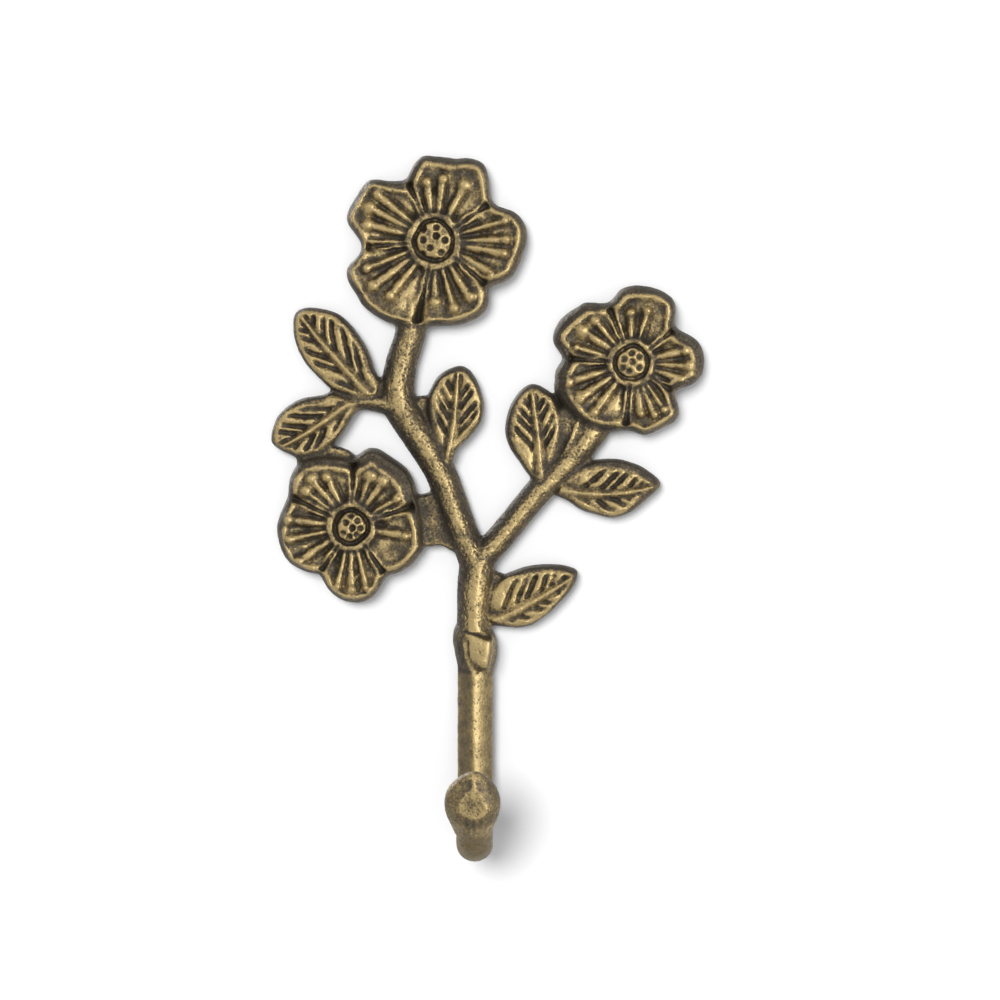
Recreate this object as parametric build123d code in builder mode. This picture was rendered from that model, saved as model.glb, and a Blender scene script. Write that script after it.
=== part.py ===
from build123d import *
import os
from math import cos, degrees, radians, sin, tan

# Cast brass wall hook: a flowering branch whose stem runs down into one forward hook that
# ends in a bud. It is one casting. Sizes are in millimetres. X runs right, Z up and +Y into
# the wall. The flat back is the plane Y = 0, and the origin lies on the fixing hole's axis.

# Fixing hole in the back, for an M5 hanger bolt
screw_core_diameter = 4.2
screw_depth = 6.0
screw_mouth_chamfer = 0.5

# Stem and limbs: width across, and height in front of the wall. Their section has steep
# cheeks up to cheek_share of the height, and a flat crest crest_share of the width
cheek_share = 0.5
cheek_draft = 0.35
crest_share = 0.3
trunk_width = 8.4
trunk_height = 8.2
left_limb_width = 7.6
left_limb_height = 7.0
right_limb_width = 6.6
right_limb_height = 6.6
twig_width = 4.6
twig_height = 4.8
limb_root = 1.6

# Centre lines, as X and Z
fork = (0.2, -1.0)
trunk_bend = (-0.5, -9.0)
trunk_top = (0.5, 4.0)
left_limb_bends = [(-5.2, 15.5), (-12.1, 31.4), (-18.4, 42.6), (-17.4, 52.5)]
left_limb_bearing = -103
right_limb_bends = [(7.4, 10.4), (16.9, 21.7), (26.4, 31.8)]
right_limb_bearing = -110
twig_share = 0.68
twig_bend = (-24.4, 42.7)
twig_end = (-30.0, 40.4)

# Flowers: centre, then for each petal the bearing and reach of the notch where it starts and
# its reach at its first shoulder, middle and last shoulder, going round clockwise
upper_centre = (-9.7, 80.4)
right_centre = (37.7, 51.4)
left_centre = (-29.7, 11.6)
upper_petals = [
    (114, 16.1, 20.6, 21.2, 20.6),
    (34, 16.7, 20.9, 22.2, 20.5),
    (-40, 16.8, 20.6, 21.0, 20.5),
    (-102, 18.6, 21.8, 23.2, 22.8),
    (-175, 17.7, 21.0, 21.8, 19.6),
]
right_petals = [
    (115, 15.5, 17.5, 18.7, 18.1),
    (38, 14.1, 16.4, 17.7, 16.6),
    (-35, 12.7, 17.4, 18.0, 17.6),
    (-99, 16.0, 17.8, 18.9, 19.1),
    (-181, 16.2, 19.4, 19.5, 17.9),
]
left_petals = [
    (91, 16.4, 19.4, 19.5, 17.8),
    (15, 15.2, 16.6, 17.9, 16.4),
    (-55, 14.2, 17.2, 18.6, 17.0),
    (-126, 13.7, 16.8, 18.4, 18.1),
    (-203, 17.0, 20.0, 19.8, 18.0),
]
flower_height = 7.4
flower_shoulder_height = 4.8
flower_shoulder_inset = 0.5
flower_top_inset = 1.9
petal_rim_width = 0.9
petal_gap = 1.3
petal_inner_depth = 2.2
petal_outer_depth = 1.0
pocket_share = 0.72
pocket_corner = 0.8

# Eye of a flower: a dimpled dome in a groove, with a raised ring round it
eye_radius = 4.0
eye_rise = 0.7
eye_groove_width = 1.3
eye_groove_depth = 2.0
eye_ring_width = 1.3
eye_bevel = 0.9
dimple_radius = 0.7
dimple_depth = 0.9
dimple_circle = 2.2
dimple_count = 6
dimple_sides = 6
groove_radius = eye_radius + eye_groove_width
pocket_start = groove_radius + eye_ring_width

# Stamens: reach and bearing of each anther
upper_stamens = [
    (14.1, 97), (14.9, 82), (15.2, 61),
    (17.6, 16), (17.1, 1), (16.9, -10),
    (15.7, -58), (16.5, -74), (14.6, -90),
    (16.8, -129), (18.3, -144), (17.4, -158),
    (14.9, 176), (16.3, 166), (17.4, 151), (17.0, 140),
]
right_stamens = [
    (12.1, 91), (12.9, 73),
    (13.0, 14), (13.8, -3), (12.6, -19),
    (13.6, -55), (13.7, -66), (12.3, -78), (11.6, -91),
    (14.8, -127), (14.9, -146), (15.7, -162),
    (13.8, 165), (13.9, 147), (13.4, 131),
]
left_stamens = [
    (12.9, 69), (13.3, 54), (12.9, 32),
    (13.4, -10), (14.9, -76), (15.2, -90), (14.9, -102),
    (15.1, -147), (15.1, -167), (14.9, 174),
    (13.8, 142), (14.4, 125), (11.8, 111),
]
stamen_width = 1.3
stamen_height = 1.1
stamen_root = 0.5
anther_radius = 1.1
anther_height = 1.1
anther_sides = 6

# Leaves: length and bearing of the midrib from its seat on the limb, then the half widths of
# the left and right halves at leaf_stations along it
leaf_stations = (0.3, 0.6, 0.85)
leaf_height = 5.4
leaf_top_inset = 1.7
leaf_rim_width = 0.6
leaf_recess = 0.8
midrib_width = 1.7
midrib_height = 1.2
vein_width = 0.9
vein_depth = 0.8
vein_count = 4
vein_shares = (0.3, 0.8)
vein_margin = 0.08
vein_lean = 45
upper_leaf = (28.4, 131.4, (6.4, 6.9, 4.6), (6.0, 7.4, 5.1))
lower_leaf = (25.5, -155.9, (4.5, 7.3, 5.4), (5.4, 6.8, 4.9))
lower_leaf_seat = 0.35
middle_leaf = (28.4, 81.7, (3.9, 6.6, 5.1), (3.2, 7.6, 5.7))
middle_leaf_share = 0.3
inner_leaf = (25.9, 96.4, (5.1, 7.4, 5.0), (4.8, 6.4, 5.0))
outer_leaf = (28.8, 3.2, (6.0, 6.8, 3.9), (5.1, 7.6, 4.1))
outer_leaf_share = 0.55
low_leaf = (29.3, 29.0, (8.0, 7.6, 4.4), (4.6, 5.7, 3.4))
low_leaf_share = 0.3

# Low webs that the casting has between a limb and what grows beside it
web_height = 3.8
flower_web_width = 11.5
flower_web_share = 0.17
flower_web_reach = 13.0
middle_web_width = 9.0
middle_web_share = 0.4
inner_web_width = 12.0
inner_web_share = 0.66
bridge_width = 9.0

# Collar where the branch is lapped onto the shaft
collar_top = -14.0
collar_length = 9.2
collar_width = 10.4
collar_height = 9.4
collar_end_inset = 1.0
lap_width = 6.6
lap_foot_width = 4.4
lap_slant = 0.6
lap_corner = 1.2
lap_proud = 0.5
lap_bevel = 0.9

# Shaft: a bar with a flat back and a crest down its front
shaft_width = 8.6
shaft_height = 8.2
crest_offset = -0.6
cheek_height = 3.6

# Hook: the shaft's bar, rounded as it turns forward
bend_start = -52.3
bend_radius = 11.6
bend_angle = 150
arm_width = 8.8
arm_thickness = 8.0

# Bud on the hook's end
bud_length = 16.0
bud_radius = 6.15
bud_widest = 7.6
bud_neck_radius = 4.2
bud_tip_radius = 2.6
bud_sink = 1.0
worn_depth = 0.8

front = Vector(0, -1, 0)
up = Vector(0, 0, 1)


def polar(centre, reach, bearing):
    """Point at a reach and bearing from a centre, as X and Z."""
    x, z = centre
    return (x + reach * cos(radians(bearing)), z + reach * sin(radians(bearing)))


def in_space(point, height=0):
    """Point of the front view, at a height in front of the wall."""
    return (point[0], -height, point[1])


def flat(vector):
    """Front view of a point in space, as X and Z."""
    return (vector.X, vector.Z)


def front_plane(point, bearing=0, height=0):
    """Plane that faces front, with its own X along a bearing."""
    along = (cos(radians(bearing)), 0, sin(radians(bearing)))
    return Plane(origin=in_space(point, height), x_dir=along, z_dir=front)


def cross_plane(point, direction):
    """Plane across a limb, with its own Y towards the front."""
    return Plane(origin=point, x_dir=front.cross(direction), z_dir=direction)


def limb_path(points):
    """Centre line of a limb on the wall plane."""
    places = [in_space(point) for point in points]
    if len(places) == 2:
        return Line(places)
    return Spline(places)


def bar_section(plane, width, height):
    """Section of a bar that lies flat against the wall."""
    half = width / 2
    with BuildSketch(plane) as section:
        with BuildLine():
            Polyline(
                (-half, 0),
                (half, 0),
                (half - cheek_draft, cheek_share * height),
                (half * crest_share, height),
                (-half * crest_share, height),
                (-half + cheek_draft, cheek_share * height),
                close=True,
            )
        make_face()
    return section.sketch


def bar(path, width, height):
    """Bar of one section along a path."""
    section = bar_section(cross_plane(path @ 0, path % 0), width, height)
    with BuildPart() as limb:
        sweep(section, path=path)
    return limb.part


def web(start, end, width):
    """Low straight web between two points of the front view."""
    return bar(limb_path([start, end]), width, web_height)


def along_leaf(seat, sizes, share=0.5):
    """Point on a leaf's midrib."""
    length, bearing, _, _ = sizes
    return polar(seat, share * length, bearing)


def petal_spans(petals):
    """Each petal with the notch that ends it."""
    first_bearing, first_notch = petals[0][0] - 360, petals[0][1]
    ends = [(petal[0], petal[1]) for petal in petals[1:]] + [(first_bearing, first_notch)]
    return list(zip(petals, ends))


def flower_face(centre, petals, inset, height):
    """Outline of a flower, drawn in by an inset, at a height in front of the wall."""
    with BuildSketch(front_plane((0, 0), height=height)) as face:
        with BuildLine():
            for (start, notch, first, middle, last), (end, end_notch) in petal_spans(petals):
                turn = end - start
                Spline(
                    polar(centre, notch - inset, start),
                    polar(centre, first - inset, start + 0.2 * turn),
                    polar(centre, middle - inset, start + 0.5 * turn),
                    polar(centre, last - inset, start + 0.8 * turn),
                    polar(centre, end_notch - inset, end),
                )
        make_face()
    return face.sketch


def petal_fall(petals):
    """Slope of the petals' floors, which fall from the rim towards the eye."""
    reach = max(middle for _, _, _, middle, _ in petals)
    return (petal_inner_depth - petal_outer_depth) / (reach - pocket_start)


def petal_pockets(centre, petals):
    """Hollows of the petals, each with a flat sloping floor inside its rim."""
    inset = flower_top_inset + petal_rim_width
    fall = petal_fall(petals)
    floor_at_eye = flower_height - petal_inner_depth - fall * pocket_start
    with BuildPart() as pockets:
        for (start, _, first, middle, last), (end, _) in petal_spans(petals):
            half = (end - start) / 2
            bearing = radians(start + half)
            out = Vector(cos(bearing), -fall, sin(bearing))
            side = Vector(-sin(bearing), 0, cos(bearing))
            plane = Plane(origin=in_space(centre, floor_at_eye), x_dir=out, z_dir=out.cross(side))
            # Petals run clockwise, so half is negative
            spread = half + degrees(petal_gap / 2 / pocket_start)
            with BuildSketch(plane):
                with BuildLine():
                    edge = ThreePointArc(
                        polar((0, 0), first - inset - pocket_corner, -pocket_share * half),
                        polar((0, 0), middle - inset, 0),
                        polar((0, 0), last - inset - pocket_corner, pocket_share * half),
                    )
                    Polyline(
                        edge @ 1,
                        polar((0, 0), pocket_start, spread),
                        polar((0, 0), pocket_start, -spread),
                        edge @ 0,
                    )
                make_face()
            extrude(amount=flower_height)
    return pockets.part


def stamens(centre, petals, anthers):
    """Ridges that run out from the ring, each with an anther at its end."""
    root = flower_height - petal_inner_depth - stamen_root
    fall = petal_fall(petals)
    ring_middle = pocket_start - eye_ring_width / 2
    pieces = []
    for out, bearing in anthers:
        foot = Vector(in_space(polar(centre, ring_middle, bearing), root))
        level = root + fall * (out - pocket_start)
        head = Vector(in_space(polar(centre, out, bearing), level))
        with BuildPart() as thread:
            with BuildSketch(cross_plane(foot, (head - foot).normalized())):
                with BuildLine():
                    Polyline(
                        (-stamen_width / 2, 0),
                        (stamen_width / 2, 0),
                        (0, stamen_height + stamen_root),
                        close=True,
                    )
                make_face()
            extrude(amount=(head - foot).length)
            with BuildSketch(Plane(origin=head, x_dir=(1, 0, 0), z_dir=front)):
                RegularPolygon(anther_radius, anther_sides)
            extrude(amount=anther_height + stamen_root)
        pieces.append(thread.part)
    return pieces


def flower(centre, petals, anthers):
    """Five-petalled flower with a flat back."""
    pockets = petal_pockets(centre, petals)
    threads = stamens(centre, petals, anthers)
    back = flower_face(centre, petals, 0, 0)
    shoulder = flower_face(centre, petals, flower_shoulder_inset, flower_shoulder_height)
    top = flower_face(centre, petals, flower_top_inset, flower_height)
    with BuildPart() as bloom:
        loft([back, shoulder, top])
        add(pockets, mode=Mode.SUBTRACT)
        add(threads)
        # Groove round the eye, then the eye itself
        with BuildSketch(front_plane(centre, height=flower_height - eye_groove_depth)):
            Circle(groove_radius)
        extrude(amount=2 * eye_groove_depth, mode=Mode.SUBTRACT)
        with BuildSketch(front_plane(centre, height=flower_height - eye_groove_depth)):
            Circle(eye_radius)
        extrude(amount=eye_groove_depth + eye_rise)
        rim = bloom.faces().sort_by(Axis.Y)[0].outer_wire().edges()
        chamfer(rim, eye_bevel)
        with BuildSketch(front_plane(centre, height=flower_height + eye_rise - dimple_depth)):
            RegularPolygon(dimple_radius, dimple_sides)
            with PolarLocations(dimple_circle, dimple_count):
                RegularPolygon(dimple_radius, dimple_sides)
        extrude(amount=2 * dimple_depth, mode=Mode.SUBTRACT)
    return bloom.part


def half_width(widths, share):
    """Half width of a leaf at a share of its length, straight between its stations."""
    shares = (0, *leaf_stations, 1)
    sizes = (widths[0] / 2, *widths, 0)
    for low, high, start, end in zip(shares, shares[1:], sizes, sizes[1:]):
        if share <= high:
            return start + (end - start) * (share - low) / (high - low)
    return 0


def leaf_face(plane, length, left, right, inset):
    """Outline of a leaf, drawn in by an inset: a spline up each side to the tip."""
    tip = (length - inset, 0)
    sides = []
    for widths, side in ((left, 1), (right, -1)):
        points = [(0, side * widths[0] / 2)]
        points += [
            (share * (length - inset), side * (width - inset))
            for share, width in zip(leaf_stations, widths)
        ]
        sides.append(points + [tip])
    with BuildSketch(plane) as face:
        with BuildLine():
            Spline(sides[0])
            Spline(sides[1])
            Line(sides[0][0], sides[1][0])
        make_face()
    return face.sketch


def leaf(seat, sizes):
    """Leaf with a recessed top, a raised midrib and sunk veins."""
    length, bearing, left, right = sizes
    plane = front_plane(seat, bearing)
    back = leaf_face(plane, length, left, right, 0)
    top = leaf_face(plane.offset(leaf_height), length, left, right, leaf_top_inset)
    rim_inset = leaf_top_inset + leaf_rim_width
    floor = leaf_height - leaf_recess
    recess = leaf_face(plane.offset(floor), length, left, right, rim_inset)
    along = Vector(cos(radians(bearing)), 0, sin(radians(bearing)))
    first_share, last_share = vein_shares
    with BuildPart() as blade:
        loft([back, top])
        extrude(recess, amount=2 * leaf_recess, mode=Mode.SUBTRACT)
        with BuildSketch(plane.offset(floor)):
            for widths, side in ((left, 1), (right, -1)):
                for number in range(vein_count):
                    share = first_share + (last_share - first_share) * number / (vein_count - 1)
                    x, y = share * length, side * midrib_width / 2
                    room = half_width(widths, share + vein_margin) - rim_inset
                    run = max(room - midrib_width / 2, 2 * vein_width)
                    reach = run / tan(radians(vein_lean))
                    with BuildLine():
                        Polyline(
                            (x, y),
                            (x + (reach + vein_width) / 2, y + side * run / 2),
                            (x + reach, y + side * run),
                            (x + (reach - vein_width) / 2, y + side * run / 2),
                            close=True,
                        )
                    make_face()
        extrude(amount=-vein_depth, mode=Mode.SUBTRACT)
        with BuildSketch(cross_plane(plane.offset(floor - vein_depth).origin, along)):
            with BuildLine():
                Polyline(
                    (-midrib_width / 2, 0),
                    (midrib_width / 2, 0),
                    (0, midrib_height + vein_depth),
                    close=True,
                )
            make_face()
        extrude(amount=length - 2 * leaf_top_inset)
    return blade.part


def collar():
    """Swollen band with a lap down its front."""
    middle = collar_top - collar_length / 2
    foot = collar_top - collar_length
    end_width = collar_width - 2 * collar_end_inset
    end_height = collar_height - collar_end_inset
    sections = []
    with BuildPart() as band:
        for level, width, height in (
            (foot, end_width, end_height),
            (middle, collar_width, collar_height),
            (collar_top, end_width, end_height),
        ):
            sections.append(bar_section(cross_plane((0, 0, level), up), width, height))
        loft(sections)
        with BuildSketch(front_plane((0, 0), height=shaft_height / 2)):
            with BuildLine():
                Polyline(
                    (-lap_width / 2, collar_top),
                    (lap_width / 2, collar_top - collar_end_inset),
                    (lap_foot_width / 2, foot),
                    (-lap_foot_width / 2 + lap_slant, foot),
                    close=True,
                )
            lap = make_face()
            fillet(lap.vertices(), lap_corner)
        extrude(amount=collar_height - shaft_height / 2 + lap_proud)
        chamfer(band.faces().sort_by(Axis.Y)[0].outer_wire().edges(), lap_bevel)
    return band.part


def bar_outline(plane, width, height, roundness):
    """Section of the hook's bar: roundness 0 is the crested shaft and 1 the round arm.

    The plane's Y points away from the wall, and its origin is in the middle of the bar.
    """
    half, rise = width / 2, height / 2
    cheek = (cheek_height - rise) * (1 - roundness)
    corner = 0.86 - 0.16 * roundness
    crest = crest_offset * (1 - roundness)
    with BuildSketch(plane) as outline:
        with BuildLine():
            Spline((-half * corner, -rise * corner), (0, -rise), (half * corner, -rise * corner))
            Spline((half * corner, -rise * corner), (half, cheek), (crest, rise))
            Spline((crest, rise), (-half, cheek), (-half * corner, -rise * corner))
        make_face()
    return outline.sketch


def hook():
    """Shaft and the bend that it runs into, as one bar."""
    bend_centre = Vector(0, -shaft_height / 2 - bend_radius, bend_start)
    stations = [(0, 0), (40, 0.6), (80, 1), (115, 1), (bend_angle, 1)]
    sections = []
    for angle, roundness in stations:
        turn = radians(angle)
        out = Vector(0, cos(turn), -sin(turn))
        down = Vector(0, -sin(turn), -cos(turn))
        plane = Plane(origin=bend_centre + out * bend_radius, x_dir=(1, 0, 0), z_dir=-down)
        width = shaft_width + (arm_width - shaft_width) * roundness
        height = shaft_height + (arm_thickness - shaft_height) * roundness
        sections.append(bar_outline(plane, width, height, roundness))
    with BuildPart() as shank:
        loft(sections)
        extrude(sections[0], amount=collar_top - collar_length / 2 - bend_start)
    return shank.part


def bud():
    """Bud on the end of the hook, with its worn front and the creases below it."""
    turn = radians(bend_angle)
    bend_centre = Vector(0, -shaft_height / 2 - bend_radius, bend_start)
    end = bend_centre + Vector(0, cos(turn), -sin(turn)) * bend_radius
    axis = Vector(0, -sin(turn), -cos(turn))
    across = Vector(1, 0, 0)
    foot = end - axis * bud_sink
    middle = foot + axis * bud_widest
    with BuildPart() as knob:
        with BuildSketch(Plane(origin=foot, x_dir=across, z_dir=across.cross(axis))):
            with BuildLine():
                side = Spline(
                    (bud_neck_radius, 0),
                    (bud_radius, bud_widest),
                    (bud_tip_radius, bud_length - bud_tip_radius / 2),
                    (0, bud_length),
                )
                Line(side @ 1, (0, 0))
                Line((0, 0), side @ 0)
            make_face()
        revolve(axis=Axis(foot, axis))
        # Flat worn where coats rub against it
        worn_front = -middle.Y + bud_radius - worn_depth
        with BuildSketch(front_plane(flat(middle), height=worn_front)):
            Rectangle(3 * bud_radius, 3 * bud_length)
        extrude(amount=2 * bud_radius, mode=Mode.SUBTRACT)
    return knob.part


# Centre lines of the limbs, and the seats of what grows on them
trunk_foot = (0, collar_top - collar_length / 2)
left_limb_end = polar(upper_centre, upper_petals[3][1] - limb_root, left_limb_bearing)
right_limb_end = polar(right_centre, right_petals[3][1] - limb_root, right_limb_bearing)
trunk_path = limb_path([trunk_foot, trunk_bend, trunk_top])
left_path = limb_path([fork, *left_limb_bends, left_limb_end])
right_path = limb_path([fork, *right_limb_bends, right_limb_end])
twig_start = flat(left_path @ twig_share)
twig_path = limb_path([twig_start, twig_bend, twig_end])
middle_seat = flat(left_path @ middle_leaf_share)
outer_seat = flat(right_path @ outer_leaf_share)
low_seat = flat(trunk_path @ low_leaf_share)
lower_seat = flat(twig_path @ lower_leaf_seat)
flower_web_seat = flat(left_path @ flower_web_share)

parts = [
    bar(trunk_path, trunk_width, trunk_height),
    bar(left_path, left_limb_width, left_limb_height),
    bar(right_path, right_limb_width, right_limb_height),
    bar(twig_path, twig_width, twig_height),
    web(polar(left_centre, flower_web_reach, 0), flower_web_seat, flower_web_width),
    web(flat(left_path @ middle_web_share), along_leaf(middle_seat, middle_leaf), middle_web_width),
    web(flat(right_path @ inner_web_share), along_leaf(outer_seat, inner_leaf), inner_web_width),
    web(polar(left_centre, flower_web_reach, 120), along_leaf(lower_seat, lower_leaf), bridge_width),
    flower(upper_centre, upper_petals, upper_stamens),
    flower(right_centre, right_petals, right_stamens),
    flower(left_centre, left_petals, left_stamens),
    leaf(twig_bend, upper_leaf),
    leaf(lower_seat, lower_leaf),
    leaf(middle_seat, middle_leaf),
    leaf(outer_seat, inner_leaf),
    leaf(outer_seat, outer_leaf),
    leaf(low_seat, low_leaf),
    collar(),
    hook(),
    bud(),
]

with BuildPart() as wall_hook:
    add(parts)
    with BuildSketch(Plane.XZ):
        Circle(screw_core_diameter / 2)
    extrude(amount=screw_depth, mode=Mode.SUBTRACT)
    mouth = wall_hook.edges().filter_by(GeomType.CIRCLE).filter_by(
        lambda edge: abs(edge.radius - screw_core_diameter / 2) < 0.01
    )
    chamfer(mouth.group_by(Axis.Y)[-1], screw_mouth_chamfer)
wall_hook.part.label = "wall_hook"

os.makedirs("parts", exist_ok=True)
export_step(wall_hook.part, "parts/wall_hook.step")
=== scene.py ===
import math

import bpy
import numpy as np
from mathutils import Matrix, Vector, noise


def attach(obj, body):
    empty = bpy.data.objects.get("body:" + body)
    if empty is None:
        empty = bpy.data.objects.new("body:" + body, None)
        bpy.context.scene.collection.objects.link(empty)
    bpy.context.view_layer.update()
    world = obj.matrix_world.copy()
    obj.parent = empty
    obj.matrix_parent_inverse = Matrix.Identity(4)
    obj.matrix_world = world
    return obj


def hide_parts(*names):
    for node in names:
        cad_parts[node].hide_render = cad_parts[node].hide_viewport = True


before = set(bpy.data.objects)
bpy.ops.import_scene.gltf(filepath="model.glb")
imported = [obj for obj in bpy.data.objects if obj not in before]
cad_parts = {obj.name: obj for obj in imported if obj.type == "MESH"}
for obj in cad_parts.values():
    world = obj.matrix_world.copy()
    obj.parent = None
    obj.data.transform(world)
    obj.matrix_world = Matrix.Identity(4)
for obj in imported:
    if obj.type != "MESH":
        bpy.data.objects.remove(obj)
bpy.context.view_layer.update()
mm = 0.001


def clearSelection():
    if bpy.context.mode != "OBJECT":
        bpy.ops.object.mode_set(mode="OBJECT")
    bpy.ops.object.select_all(action="DESELECT")


def selectOnly(*objects):
    clearSelection()
    for item in objects:
        item.select_set(True)
    bpy.context.view_layer.objects.active = objects[0]


def ease(low, high, value):
    # 0 at low, 1 at high, smooth between
    t = np.clip((value - low) / (high - low), 0, 1)
    return t * t * (3 - 2 * t)


def readVertices(item, key):
    flat = np.empty(len(item.data.vertices) * 3)
    item.data.vertices.foreach_get(key, flat)
    return flat.reshape(-1, 3)


def writeCoordinates(item, places):
    item.data.vertices.foreach_set("co", places.ravel())
    item.data.update()


def softenOutline(points, rounds=2):
    # cuts the corners of a closed outline, so a few listed points give a smooth edge
    line = np.array(points, float)
    for _ in range(rounds):
        after = np.roll(line, -1, axis=0)
        line = np.stack([0.75 * line + 0.25 * after, 0.25 * line + 0.75 * after], 1).reshape(-1, 2)
    return line


def middleOf(outline):
    return tuple(np.mean(outline, axis=0))


def outlineArea(line):
    after = np.roll(line, -1, axis=0)
    return 0.5 * np.sum(line[:, 0] * after[:, 1] - after[:, 0] * line[:, 1])


def edgeDistance(x, z, outline):
    # distance from points to a closed outline, and whether they lie inside it
    nearest = np.full(len(x), 1e9)
    inside = np.zeros(len(x), bool)
    after = np.roll(outline, -1, axis=0)
    for (ax, az), (bx, bz) in zip(outline, after):
        dx, dz = bx - ax, bz - az
        t = np.clip(((x - ax) * dx + (z - az) * dz) / (dx * dx + dz * dz + 1e-12), 0, 1)
        nearest = np.minimum(nearest, np.hypot(x - ax - t * dx, z - az - t * dz))
        if dz != 0:
            crosses = (az > z) != (bz > z)
            inside ^= crosses & (x < dx * (z - az) / dz + ax)
    return nearest, inside


def insideOutline(some, x, z, outline):
    # which of some vertices lie inside an outline, and how far in
    distance, inside = edgeDistance(x[some], z[some], outline)
    return some[inside], distance[inside]


def lineDistance(x, z, start, end):
    # distance from points to a stroke, and how far along it they are from 0 to 1
    (ax, az), (bx, bz) = start, end
    dx, dz = bx - ax, bz - az
    t = np.clip(((x - ax) * dx + (z - az) * dz) / (dx * dx + dz * dz), 0, 1)
    return np.hypot(x - ax - t * dx, z - az - t * dz), t


def ripple(x, z, size, seed):
    # slow unevenness of a hand-finished casting, -1 to 1
    return np.array([noise.noise(Vector((a / size + seed, b / size - seed, seed))) for a, b in zip(x, z)])


def makePlate(name, outline, steps, centre):
    # flat-backed form: a circle reshaped to an outline and raised in steps of (height, shrink)
    line = softenOutline(outline)
    if outlineArea(line) < 0:
        line = line[::-1]
    clearSelection()
    bpy.ops.mesh.primitive_circle_add(vertices=len(line), radius=1, fill_type="NGON")
    plate = bpy.context.object
    plate.name = name
    for vertex, (x, z) in zip(plate.data.vertices, line):
        vertex.co = (x * mm, 0, z * mm)
    bpy.ops.object.mode_set(mode="EDIT")
    bpy.ops.mesh.select_all(action="SELECT")
    height = shrink = 0
    reach = max(math.hypot(x - centre[0], z - centre[1]) for x, z in line)
    for nextHeight, nextShrink in steps:
        move = {"value": (0, (height - nextHeight) * mm, 0)}
        bpy.ops.mesh.extrude_region_move(TRANSFORM_OT_translate=move)
        ratio = (reach - nextShrink) / (reach - shrink)
        pivot = (centre[0] * mm, -nextHeight * mm, centre[1] * mm)
        bpy.ops.transform.resize(value=(ratio, 1, ratio), center_override=pivot)
        height, shrink = nextHeight, nextShrink
    bpy.ops.mesh.select_all(action="SELECT")
    bpy.ops.mesh.normals_make_consistent(inside=False)
    bpy.ops.object.mode_set(mode="OBJECT")
    return plate


def rollSheet(name, rings):
    # a grid rolled into a closed bar that passes through the rings of points
    count = len(rings[0])
    clearSelection()
    bpy.ops.mesh.primitive_grid_add(x_subdivisions=count, y_subdivisions=len(rings) - 1, size=1)
    bar = bpy.context.object
    bar.name = name
    for row, ring in enumerate(rings):
        for column in range(count + 1):
            point = ring[column % count]
            bar.data.vertices[row * (count + 1) + column].co = tuple(value * mm for value in point)
    bpy.ops.object.mode_set(mode="EDIT")
    bpy.ops.mesh.select_all(action="SELECT")
    bpy.ops.mesh.remove_doubles(threshold=1e-7)
    bpy.ops.mesh.select_all(action="SELECT")
    bpy.ops.mesh.fill_holes(sides=0)
    bpy.ops.mesh.select_all(action="SELECT")
    bpy.ops.mesh.normals_make_consistent(inside=False)
    bpy.ops.object.mode_set(mode="OBJECT")
    return bar


def smoothRun(points, steps=8):
    # smooth line through a few points, each with any number of values
    rows = [np.array(point, float) for point in points]
    rows = [2 * rows[0] - rows[1], *rows, 2 * rows[-1] - rows[-2]]
    run = []
    for a, b, c, d in zip(rows, rows[1:], rows[2:], rows[3:]):
        for step in range(steps):
            t = step / steps
            run.append(0.5 * (2 * b + (c - a) * t + (2 * a - 5 * b + 4 * c - d) * t * t
                              + (3 * b - 3 * c + d - a) * t ** 3))
    run.append(rows[-2])
    return run


limbSection = {  # across and up, as shares of half the width and of the height
    "shape": [(-1.0, 0.0), (1.0, 0.0), (1.03, 0.28), (0.96, 0.5), (0.8, 0.7), (0.52, 0.88),
              (0.2, 1.0), (-0.2, 1.0), (-0.52, 0.88), (-0.8, 0.7), (-0.96, 0.5), (-1.03, 0.28)],
}


def makeLimb(name, stations):
    # stations: x, z, width, height
    run = smoothRun(stations)
    rings = []
    for index, (x, z, width, height) in enumerate(run):
        before, after = run[max(index - 1, 0)], run[min(index + 1, len(run) - 1)]
        dx, dz = after[0] - before[0], after[1] - before[1]
        length = math.hypot(dx, dz)
        sideX, sideZ = dz / length, -dx / length
        rings.append([(x + a * width / 2 * sideX, -b * height, z + a * width / 2 * sideZ)
                      for a, b in limbSection["shape"]])
    return rollSheet(name, rings)


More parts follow.
